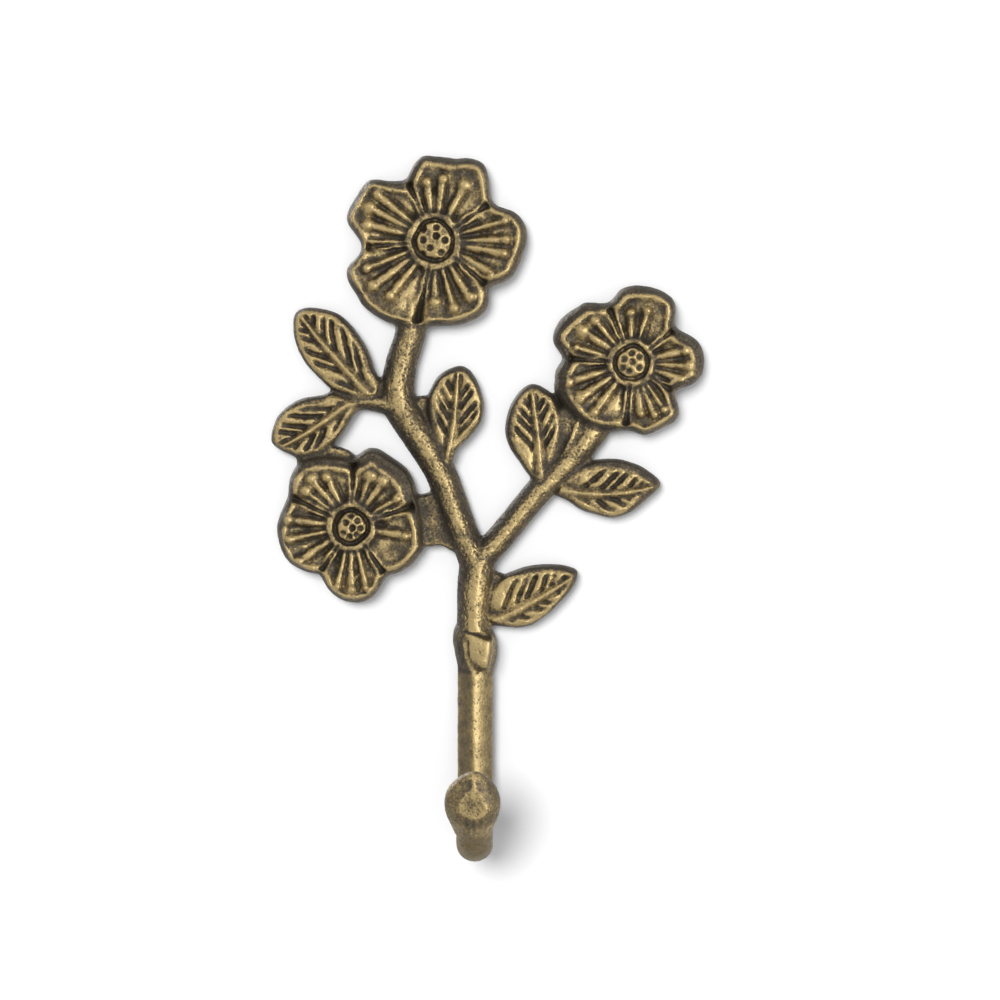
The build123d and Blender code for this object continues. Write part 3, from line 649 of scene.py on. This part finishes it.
print("chasing petals, stamens, eyes and leaves")
places = readVertices(casting, "co") / mm
x, height, z = places[:, 0].copy(), -places[:, 1].copy(), places[:, 2].copy()
facing = -readVertices(casting, "normal")[:, 1]
for name, flower in flowers.items():
    cx, cz = flower["centre"]
    near = np.flatnonzero((np.hypot(x - cx, z - cz) < 25) & (height > 5.6) & (facing > 0.2))
    near, distance = insideOutline(near, x, z, flowerOutlines[name])
    target = flowerHeight(flower, x[near], z[near], distance)
    target += flowerRelief["wobble"] * ripple(x[near], z[near], 2.6, cx)
    weight = ease(1.0, 1.8, distance)
    height[near] += (target - height[near]) * weight
for name, leaf in leaves.items():
    mx, mz = np.mean(leafOutlines[name], axis=0)
    near = np.flatnonzero((np.hypot(x - mx, z - mz) < 20) & (np.abs(height - 5.3) < 0.75) & (facing > 0.2))
    near, distance = insideOutline(near, x, z, leafOutlines[name])
    target = leafHeight(leaf, x[near], z[near], distance)
    target += 0.15 * ripple(x[near], z[near], 2.0, mx)
    weight = ease(0.9, 1.5, distance) * ease(0.75, 0.45, np.abs(height[near] - 5.3))
    height[near] += (target - height[near]) * weight
# the shaft's crest, with a flat facet on its left and a round one on its right
bare, crest = hook["bareTop"], hook["crest"]
shaft = np.flatnonzero((z < bare) & (z > -54) & (facing > 0.1) & (height > 2) & (height < 10))
onLeft = x[shaft] < crest
across = np.where(onLeft, (crest - x[shaft]) / (hook["halfWidth"] + crest),
                  (x[shaft] - crest) / (hook["halfWidth"] - crest))
power = np.where(onLeft, hook["leftPower"], hook["rightPower"])
crested = hook["thick"] + hook["crestRise"] - hook["crestFall"] * np.clip(across, 0, 1) ** power
weight = ease(1.0, 0.86, across) * ease(-53, -48, z[shaft])
weight *= ease(bare, bare - 1.4, z[shaft])
height[shaft] += (crested - height[shaft]) * weight
# the collar has a crisp brow, and a crease runs round its lap
band = np.flatnonzero((np.abs(x) < 6) & (z > -25) & (z < -12) & (facing > 0.1) & (height > 5))
browLip = [(px, pz - collar["lipBelow"]) for px, pz in collar["brow"]]
chased = ((collar["brow"], -collar["browDepth"], 0.36), (collar["crease"], -collar["creaseDepth"], 0.36),
          (browLip, collar["browLip"], 0.5))
for line, lift, width in chased:
    away = np.full(len(band), 1e9)
    for start, end in zip(line, line[1:]):
        away = np.minimum(away, lineDistance(x[band], z[band], start, end)[0])
    height[band] += lift * np.exp(-(away / width) ** 2)
places[:, 1] = -height


def budPlace(points):
    # along the bud's axis, sideways and towards the front
    fromFoot = points - np.array(budFoot)
    return fromFoot @ np.array(budAxis), fromFoot[:, 0], fromFoot @ np.array(budOut)


print("chasing the bud")
along, aside, ahead = budPlace(places)
tip = np.flatnonzero((along > 0.5) & (places[:, 1] < -19) & (ahead > 0))
along, aside, ahead = along[tip], aside[tip], ahead[tip]
# a ridge runs down from the tip and creases run up from the arm
ridgeStart, ridgeEnd = bud["ridge"]
onRidge = ease(ridgeStart, ridgeStart + 1.2, along) * ease(ridgeEnd, ridgeEnd - 1, along)
lift = bud["ridgeRise"] * np.exp(-(aside / 0.4) ** 2) * onRidge
fan = aside / (0.75 + 0.11 * along)
onCrease = ease(1.0, 2.4, along) * ease(8.4, 6.0, along) * ease(3.3, 1.6, np.abs(aside))
lift -= bud["creaseDepth"] * onCrease * np.maximum(np.cos(fan * 5.2 + 0.5), 0) ** 2
places[tip] += np.array(budOut) * lift[:, None]
# its front is worn flat
past = np.minimum(places[tip, 1] + bud["worn"], 0)
places[tip, 1] -= bud["flattening"] * past
writeCoordinates(casting, places * mm)

applyModifier(casting, "REMESH", mode="VOXEL", voxel_size=mesh["secondVoxel"] * mm, adaptivity=0)
applyModifier(casting, "SMOOTH", factor=0.35, iterations=1)

print("uneven skin of the casting")
skin = {"swell": 0.10, "swellSize": 3.2, "grit": 0.12, "pit": 0.20, "pitSize": 0.6, "backWithin": 0.25}
places = readVertices(casting, "co") / mm
front = np.flatnonzero(places[:, 1] < -0.6)
rough = np.array([noise.fractal(Vector(p) / skin["swellSize"], 0.6, 2.0, 3) for p in places[front]])
px, pz = places[front, 0], places[front, 2]
pitted = np.ones(len(front))
for outline in [*flowerOutlines.values(), *leafOutlines.values()]:
    pitted[edgeDistance(px, pz, outline)[1]] = 0
pitted *= ease(-14, -11, pz)
pock = np.array([noise.noise(Vector(p) / skin["pitSize"]) for p in places[front]])
dent = skin["swell"] * rough + skin["grit"] * pitted * np.minimum(pock, 0.15)
dent -= skin["pit"] * pitted * ease(0.2, 0.55, pock)
places[front] += readVertices(casting, "normal")[front] * dent[:, None]
# the back is ground flat
back = places[:, 1] > -skin["backWithin"]
places[back, 1] = 0
writeCoordinates(casting, places * mm)
applyModifier(casting, "DECIMATE", ratio=min(1, mesh["triangles"] / (len(casting.data.polygons) * 2)))

print("tapping the hole in the back")
tapped = {"depth": 6.0, "core": 2.1, "thread": 0.36, "pitch": 0.8, "mouth": 0.5}


def makeTap():
    # a bar with a helical ridge, wider at the mouth
    rings = []
    for depth in np.arange(-0.2, tapped["depth"] + 0.01, tapped["pitch"] / 8):
        ring = []
        for count in range(40):
            turned = count / 40
            wave = abs(2 * ((depth / tapped["pitch"] + turned) % 1) - 1)
            # the thread ends short of the bottom
            cut = tapped["thread"] * wave if depth < tapped["depth"] - 0.5 else 0
            radius = tapped["core"] + cut
            radius = max(radius, tapped["core"] + tapped["thread"] + tapped["mouth"] - depth)
            swing = 2 * math.pi * turned
            ring.append((radius * math.cos(swing), -depth, radius * math.sin(swing)))
        rings.append(ring)
    return rollSheet("tap", rings)


tap = makeTap()
selectOnly(casting)
applyModifier(casting, "BOOLEAN", operation="DIFFERENCE", solver="MANIFOLD", object=tap)
selectOnly(tap)
bpy.ops.object.delete()
selectOnly(casting)
bpy.ops.object.shade_smooth()
print("triangles in all", len(casting.data.polygons))


def spreadMean(values, pairs, count, rounds):
    # averages each vertex with its neighbours, round after round
    a, b = pairs[:, 0], pairs[:, 1]
    links = np.bincount(a, minlength=count) + np.bincount(b, minlength=count) + 1
    for _ in range(rounds):
        total = np.array(values)
        for column in range(values.shape[1]):
            total[:, column] += np.bincount(a, values[b, column], count)
            total[:, column] += np.bincount(b, values[a, column], count)
        values = total / links[:, None]
    return values


rubbingAndLight = {  # shares of the wear, which runs from 0 in hollows to 1 on crests, and of painted light that makes walls and facets facing the right lighter
    "base": 0.60, "crest": 0.9, "hollow": 0.8, "slow": 0.16, "quick": 0.24, "webLoss": 0.16,
    "collarLoss": 0.20, "trunkGain": 0.14, "ringLoss": 0.30, "lipLoss": 0.16, "wall": 0.20,
    "paintedLowerRightLight": 0.20, "trunkRightPaintedLight": 0.22, "shaft": 0.48, "shaftRise": 0.5, "shaftRightPaintedLight": 0.18,
    "shaftEdgeLoss": 0.16, "bud": 0.32, "budRidge": 0.3, "budPatch": 0.30, "arm": 0.56,
    "barBack": 0.45, "back": 0.50,
}


def paintWearAndLight(item):
    # gives each vertex its wear, with painted light on right-facing walls and facets mixed in, and its
    # polish, for the material to read
    share = rubbingAndLight
    spots = readVertices(item, "co") / mm
    outward = readVertices(item, "normal")
    pairs = np.empty(len(item.data.edges) * 2, int)
    item.data.edges.foreach_get("vertices", pairs)
    pairs = pairs.reshape(-1, 2)
    count = len(spots)
    fine = spreadMean(spots, pairs, count, 3)
    broad = spreadMean(fine, pairs, count, 14)
    fineRise = np.sum((spots - fine) * outward, axis=1)
    broadRise = np.sum((spots - broad) * outward, axis=1)
    facing = -outward[:, 1]
    x, z, height = spots[:, 0], spots[:, 2], -spots[:, 1]
    rise = 1.9 * fineRise + 0.8 * broadRise
    # crests are rubbed and hollows keep their patina
    wearAndPaintedLight = share["base"] + np.where(rise > 0, share["crest"], share["hollow"]) * rise
    # some crests are rubbed more than others
    wearAndPaintedLight += share["slow"] * ripple(x, z, 6.5, 31) + share["quick"] * ripple(x, z, 2.8, 17)
    # the webs keep most of their patina
    wearAndPaintedLight -= share["webLoss"] * ease(5.3, 4.8, height) * (facing > 0.5)
    # so does the left side of the collar
    onCollar = ease(-12.8, -14.0, z) * ease(-23.4, -22.4, z)
    wearAndPaintedLight -= share["collarLoss"] * ease(-1.4, -2.2, x) * onCollar
    # the trunk is rubbed most
    wearAndPaintedLight += share["trunkGain"] * ease(1, -3, z)
    onTrunk = ease(5, 1, z)
    low, high = 0.56 - 0.06 * onTrunk, 0.97 - 0.02 * onTrunk
    band = np.ones(count)
    for group, outlines, near in ((flowers, flowerOutlines, 25), (leaves, leafOutlines, 20)):
        for name, outline in outlines.items():
            form = group[name]
            mx, mz = np.mean(outline, axis=0)
            some = np.flatnonzero((np.hypot(x - mx, z - mz) < near) & (height < 8.2) & (facing > 0))
            some, distance = insideOutline(some, x, z, outline)
            low[some], high[some] = 0.15, 0.75
            if group is flowers:
                # least rubbed round the eye and beside the valleys
                r = np.hypot(x[some] - form["centre"][0], z[some] - form["centre"][1])
                ring = ease(form["groove"] - 0.2, form["groove"] + 0.3, r)
                ring *= ease(form["ring"] + 2.0, form["ring"] + 0.6, r)
                lips = ease(1.9, 0.8, valleyDistance(form, x[some], z[some])) * (r > form["ring"])
                lips = lips * ease(-0.2, 0.3, ripple(x[some], z[some], 3.5, 8))
                wearAndPaintedLight[some] -= share["ringLoss"] * ring + share["lipLoss"] * lips
            band[some] = ease(-0.9, -0.25, distance - rimLine(form, x[some], z[some]))
    # walls keep the patina too; painted light makes those facing the lower right lighter, as if lit from
    # there
    downRight = 0.85 * outward[:, 0] - 0.5 * outward[:, 2]
    wall = share["wall"] + share["paintedLowerRightLight"] * ease(0.1, 0.8, downRight)
    # painted light: the walls on the right side of the trunk and collar are painted lighter, as if lit from
    # the right
    rightSideLit = ease(0.6, 2.0, x) * ease(6.5, 5.5, x) * ease(2, -3, z)
    wall += share["trunkRightPaintedLight"] * rightSideLit * (height > 4.5)
    free = ease(low, high, facing) * band
    wearAndPaintedLight = wearAndPaintedLight * free + wall * (1 - free)
    # the shaft and hook are rubbed all round; painted light makes their facets facing right lighter than the
    # left facet, as if lit from the right
    lower = ease(-23.0, -24.5, z)
    side = ease(-0.2, 0.1, outward[:, 0])
    rubbed = share["shaft"] + share["shaftRise"] * rise + share["shaftRightPaintedLight"] * side
    rubbed -= share["shaftEdgeLoss"] * ease(0.6, 0.95, outward[:, 0])
    along, aside, ahead = budPlace(spots)
    onBud = ease(3.0, 6.0, along) * (height > 18)
    patch = (height > bud["worn"] - 0.15) * ease(0.93, 0.98, facing) * onBud
    ridge = ease(0.8, 0.3, np.abs(aside)) * ease(11, 12, along) * (ahead > 0)
    onTip = share["bud"] + 0.5 * rise + share["budRidge"] * ridge
    rubbed = rubbed * (1 - onBud) + onTip * onBud + share["budPatch"] * patch
    # the arm under the bud is toned evenly
    under = ease(-58.5, -60.5, z) * (1 - onBud)
    rubbed = rubbed * (1 - under) + share["arm"] * under
    # towards its back the bar keeps an even tone
    nearBack = ease(1.8, 0.8, height)
    rubbed = rubbed * (1 - nearBack) + share["barBack"] * nearBack
    wearAndPaintedLight = wearAndPaintedLight * (1 - lower) + lower * rubbed
    # the back is ground flat and only lightly toned
    behind = ease(-0.6, -0.95, facing) * (height < 0.3)
    wearAndPaintedLight = wearAndPaintedLight * (1 - behind) + share["back"] * behind
    polish = lower * (1 - nearBack) * (1 - 0.6 * onBud)
    for key, value in (("wearAndPaintedLight", wearAndPaintedLight), ("polish", polish)):
        layer = item.data.attributes.new(key, "FLOAT", "POINT")
        layer.data.foreach_set("value", np.clip(value, 0, 1).astype(np.float32))


paintWearAndLight(casting)


brass = {
    "patina": (0.054, 0.045, 0.034), "toned": (0.088, 0.072, 0.050), "rubbed": (0.160, 0.122, 0.064),
    "bright": (0.37, 0.28, 0.134), "tonedAt": 0.30, "rubbedAt": 0.62, "rubSpan": (1.33, 2.05),
    "grainPerMetre": 1700.0, "grain": 1.45, "mottlePerMetre": 300.0, "mottle": 0.70,
    "pitsPerMetre": 950.0, "pits": 0.14, "polished": 0.35, "roughness": (0.62, 0.42), "bump": 0.00016,
}


def makeBrass():
    material = bpy.data.materials.new("agedBrass")
    material.use_nodes = True
    nodes, links = material.node_tree.nodes, material.node_tree.links
    nodes.clear()

    def add(kind, **inputs):
        node = nodes.new(kind)
        for key, value in inputs.items():
            node.inputs[key].default_value = value
        return node

    def spread(source, *ends):
        # maps a value from one span to another
        node = nodes.new("ShaderNodeMapRange")
        for key, value in zip(("From Min", "From Max", "To Min", "To Max"), ends):
            node.inputs[key].default_value = value
        links.new(source, node.inputs["Value"])
        return node.outputs[0]

    def plus(source, share, base):
        node = nodes.new("ShaderNodeMath")
        node.operation = "MULTIPLY_ADD"
        node.inputs[1].default_value = share
        links.new(source, node.inputs[0])
        links.new(base, node.inputs[2])
        return node.outputs[0]

    def calmed(source, calm):
        # draws a texture towards its middle value
        mix = nodes.new("ShaderNodeMix")
        links.new(calm, mix.inputs["Factor"])
        mix.inputs["A"].default_value = 0.5
        links.new(source, mix.inputs["B"])
        return mix.outputs["Result"]

    output = add("ShaderNodeOutputMaterial")
    shader = add("ShaderNodeBsdfPrincipled")
    links.new(shader.outputs[0], output.inputs[0])
    place = nodes.new("ShaderNodeTexCoord").outputs["Object"]
    # the wear attribute also carries painted light: walls and facets facing the right are lighter, as if lit
    # from there
    wearAndPaintedLight = nodes.new("ShaderNodeAttribute")
    wearAndPaintedLight.attribute_name = "wearAndPaintedLight"
    grain = add("ShaderNodeTexNoise", Scale=brass["grainPerMetre"], Detail=5.0, Roughness=0.7)
    mottle = add("ShaderNodeTexNoise", Scale=brass["mottlePerMetre"], Detail=3.0, Roughness=0.55)
    pits = add("ShaderNodeTexVoronoi", Scale=brass["pitsPerMetre"])
    for texture in (grain, mottle, pits):
        links.new(place, texture.inputs["Vector"])
    pitted = spread(pits.outputs["Distance"], 0.10, 0.38, 0.0, 1.0)
    # hands keep the shaft smooth, so it is less mottled
    polish = nodes.new("ShaderNodeAttribute")
    polish.attribute_name = "polish"
    calm = spread(polish.outputs["Fac"], 0.0, 1.0, 1.0, brass["polished"])
    # grain and mottle join the wear and its painted light, so the patina breaks up at its edges
    total = plus(calmed(grain.outputs["Fac"], calm), brass["grain"], wearAndPaintedLight.outputs["Fac"])
    total = plus(calmed(mottle.outputs["Fac"], calm), brass["mottle"], total)
    total = plus(pitted, brass["pits"], total)
    rub = spread(total, *brass["rubSpan"], 0.0, 1.0)
    colour = nodes.new("ShaderNodeValToRGB")
    ramp = colour.color_ramp
    ramp.elements[0].color = (*brass["patina"], 1)
    ramp.elements[1].color = (*brass["bright"], 1)
    ramp.elements.new(brass["tonedAt"]).color = (*brass["toned"], 1)
    ramp.elements.new(brass["rubbedAt"]).color = (*brass["rubbed"], 1)
    links.new(rub, colour.inputs[0])
    links.new(colour.outputs[0], shader.inputs["Base Color"])
    links.new(spread(rub, 0.0, 0.6, 0.6, 1.0), shader.inputs["Metallic"])
    shader.inputs["Specular IOR Level"].default_value = 0.25
    links.new(spread(rub, 0.0, 1.0, *brass["roughness"]), shader.inputs["Roughness"])
    skin = plus(pitted, 0.8, grain.outputs["Fac"])
    bump = nodes.new("ShaderNodeBump")
    bump.inputs["Strength"].default_value = 0.6
    bump.inputs["Distance"].default_value = brass["bump"]
    links.new(skin, bump.inputs["Height"])
    links.new(bump.outputs[0], shader.inputs["Normal"])
    return material


casting.data.materials.clear()
casting.data.materials.append(makeBrass())
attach(casting, "root")
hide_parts("wall_hook")

print("wall, lamps and camera")

clearSelection()
bpy.ops.mesh.primitive_plane_add(size=4, location=(0, 0.0004, 0))
wall = bpy.context.object
wall.name = "wall"
bpy.ops.transform.rotate(value=math.radians(90), orient_axis="X", center_override=(0, 0.0004, 0))
bpy.ops.object.transform_apply()
wall.visible_diffuse = False
wall.visible_glossy = False
wall.visible_shadow = False


def makeWallPaint():
    # plain white wall, seen from the room side only, so the hook's back can be looked at
    material = bpy.data.materials.new("whiteWall")
    material.use_nodes = True
    nodes, links = material.node_tree.nodes, material.node_tree.links
    nodes.clear()
    output = nodes.new("ShaderNodeOutputMaterial")
    paint = nodes.new("ShaderNodeBsdfDiffuse")
    paint.inputs["Color"].default_value = (0.9, 0.9, 0.9, 1)
    clear = nodes.new("ShaderNodeBsdfTransparent")
    side = nodes.new("ShaderNodeNewGeometry")
    mix = nodes.new("ShaderNodeMixShader")
    links.new(side.outputs["Backfacing"], mix.inputs[0])
    links.new(paint.outputs[0], mix.inputs[1])
    links.new(clear.outputs[0], mix.inputs[2])
    links.new(mix.outputs[0], output.inputs[0])
    return material


wall.data.materials.append(makeWallPaint())
if wall.data.polygons[0].normal.y > 0:
    wall.data.flip_normals()

lamps = {  # place in metres, size, watts
    "key": {"at": (0.46, -0.50, 0.02), "size": 0.34, "watts": 2.8},
    "rear": {"at": (-0.35, 0.55, 0.30), "size": 0.50, "watts": 2.5},
    "fill": {"at": (-0.30, -0.62, 0.42), "size": 0.50, "watts": 1.0},
}
suns = {  # direction that it shines in, strength, width in degrees, whether it throws a shadow
    "wallSun": {"towards": (0.27, 1.0, -0.31), "strength": 2.2, "angle": 24, "shadow": True},
    "wallGlow": {"towards": (0.0, 1.0, 0.0), "strength": 0.5, "angle": 60, "shadow": False},
}
hookThings = bpy.data.collections.new("lit_hook")
wallThings = bpy.data.collections.new("lit_wall")
hookThings.objects.link(casting)
wallThings.objects.link(wall)
target = Vector((0.006, -0.006, 0.018))


def addLamp(kind, name, at, towards, energy, receivers):
    clearSelection()
    bpy.ops.object.light_add(type=kind, location=at)
    item = bpy.context.object
    item.name = name
    item.data.energy = energy
    item.rotation_euler = Vector(towards).to_track_quat("-Z", "Y").to_euler()
    item.light_linking.receiver_collection = receivers
    return item.data


for name, lamp in lamps.items():
    towards = target - Vector(lamp["at"])
    light = addLamp("AREA", name, lamp["at"], towards, lamp["watts"], hookThings)
    light.shape = "DISK"
    light.size = lamp["size"]
for name, lamp in suns.items():
    light = addLamp("SUN", name, (-0.3, -0.8, 0.4), lamp["towards"], lamp["strength"], wallThings)
    light.angle = math.radians(lamp["angle"])
    light.use_shadow = lamp["shadow"]

world = bpy.data.worlds.new("studio")
scene = bpy.context.scene
scene.world = world
world.use_nodes = True
nodes, links = world.node_tree.nodes, world.node_tree.links
nodes.clear()
output = nodes.new("ShaderNodeOutputWorld")
seen, light = nodes.new("ShaderNodeBackground"), nodes.new("ShaderNodeBackground")
for background, strength in ((seen, 1.0), (light, 0.42)):
    background.inputs["Color"].default_value = (1, 1, 1, 1)
    background.inputs["Strength"].default_value = strength
rays = nodes.new("ShaderNodeLightPath")
mix = nodes.new("ShaderNodeMixShader")
either = rays.outputs["Is Camera Ray"]
for ray in ("Is Glossy Ray", "Is Transmission Ray"):
    wider = nodes.new("ShaderNodeMath")
    wider.operation = "MAXIMUM"
    links.new(either, wider.inputs[0])
    links.new(rays.outputs[ray], wider.inputs[1])
    either = wider.outputs[0]
links.new(either, mix.inputs[0])
links.new(light.outputs[0], mix.inputs[1])
links.new(seen.outputs[0], mix.inputs[2])
links.new(mix.outputs[0], output.inputs[0])

camera = {"distance": 0.70, "look": (0.00604, -0.0055, 0.0181), "elevation": 3.5, "span": 0.2415}
clearSelection()
elevation = math.radians(camera["elevation"])
look = Vector(camera["look"])
position = look + Vector((0, -math.cos(elevation), math.sin(elevation))) * camera["distance"]
bpy.ops.object.camera_add(location=position)
eye = bpy.context.object
eye.name = "camera"
eye.rotation_euler = (look - position).to_track_quat("-Z", "Y").to_euler()
eye.data.sensor_width = 36
eye.data.lens = 36 * camera["distance"] / camera["span"]
scene.camera = eye

scene.view_settings.view_transform = "Standard"
scene.cycles.caustics_reflective = False
clearSelection()
